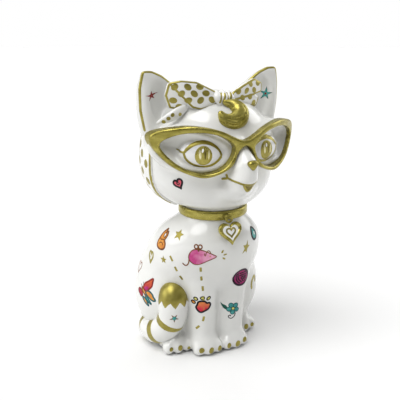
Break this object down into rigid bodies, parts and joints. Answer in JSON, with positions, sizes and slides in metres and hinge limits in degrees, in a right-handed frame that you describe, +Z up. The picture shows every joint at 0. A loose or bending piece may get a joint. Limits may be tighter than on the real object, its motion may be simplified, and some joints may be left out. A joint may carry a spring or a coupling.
{
  "type": "coin bank",
  "caption": "Ceramic coin bank shaped as a seated cat with glasses, bow and heart tag; coin slot in the crown, rubber stopper in the base.",
  "frame": {"origin": "middle of the footprint box, on the surface the bank stands on", "axes": "+Z up; the cat faces -Y; +X is the cat's left"},
  "size_m": [0.102, 0.1179, 0.19],
  "materials": {
    "white_glaze": "gloss",
    "gold_lustre": "satin metallic paint",
    "soft_rubber": "matte"
  },
  "bodies": {
    "bank": {"body_shell": "white_glaze", "floor_disc": "white_glaze", "tail": "white_glaze", "head_shell": "white_glaze", "ear_right": "white_glaze", "ear_left": "white_glaze", "scarf_band": "white_glaze", "bow_loop_right": "white_glaze", "bow_loop_left": "white_glaze", "bow_knot": "white_glaze", "scarf_end": "white_glaze", "eye_right": "white_glaze", "eye_left": "white_glaze", "collar_band": "gold_lustre", "heart_tag": "gold_lustre", "tag_bail": "gold_lustre", "forelock_curl": "gold_lustre", "glasses_frame": "gold_lustre", "nose": "gold_lustre"},
    "stopper": {"stopper_plug": "soft_rubber"},
    "pull_tab": {"stopper_tab": "soft_rubber"}
  },
  "joints": [
    {"name": "stopper_pull", "type": "slide", "parent": "bank", "child": "stopper", "axis": [0, 0, -1], "range_m": [0, 0.03]},
    {"name": "tab_fold", "type": "hinge", "parent": "stopper", "child": "pull_tab", "pos_m": [0, 0.026, 0.0037], "axis": [1, 0, 0], "range_deg": [0, 80], "stiffness_Nm_per_rad": 0.002}
  ]
}
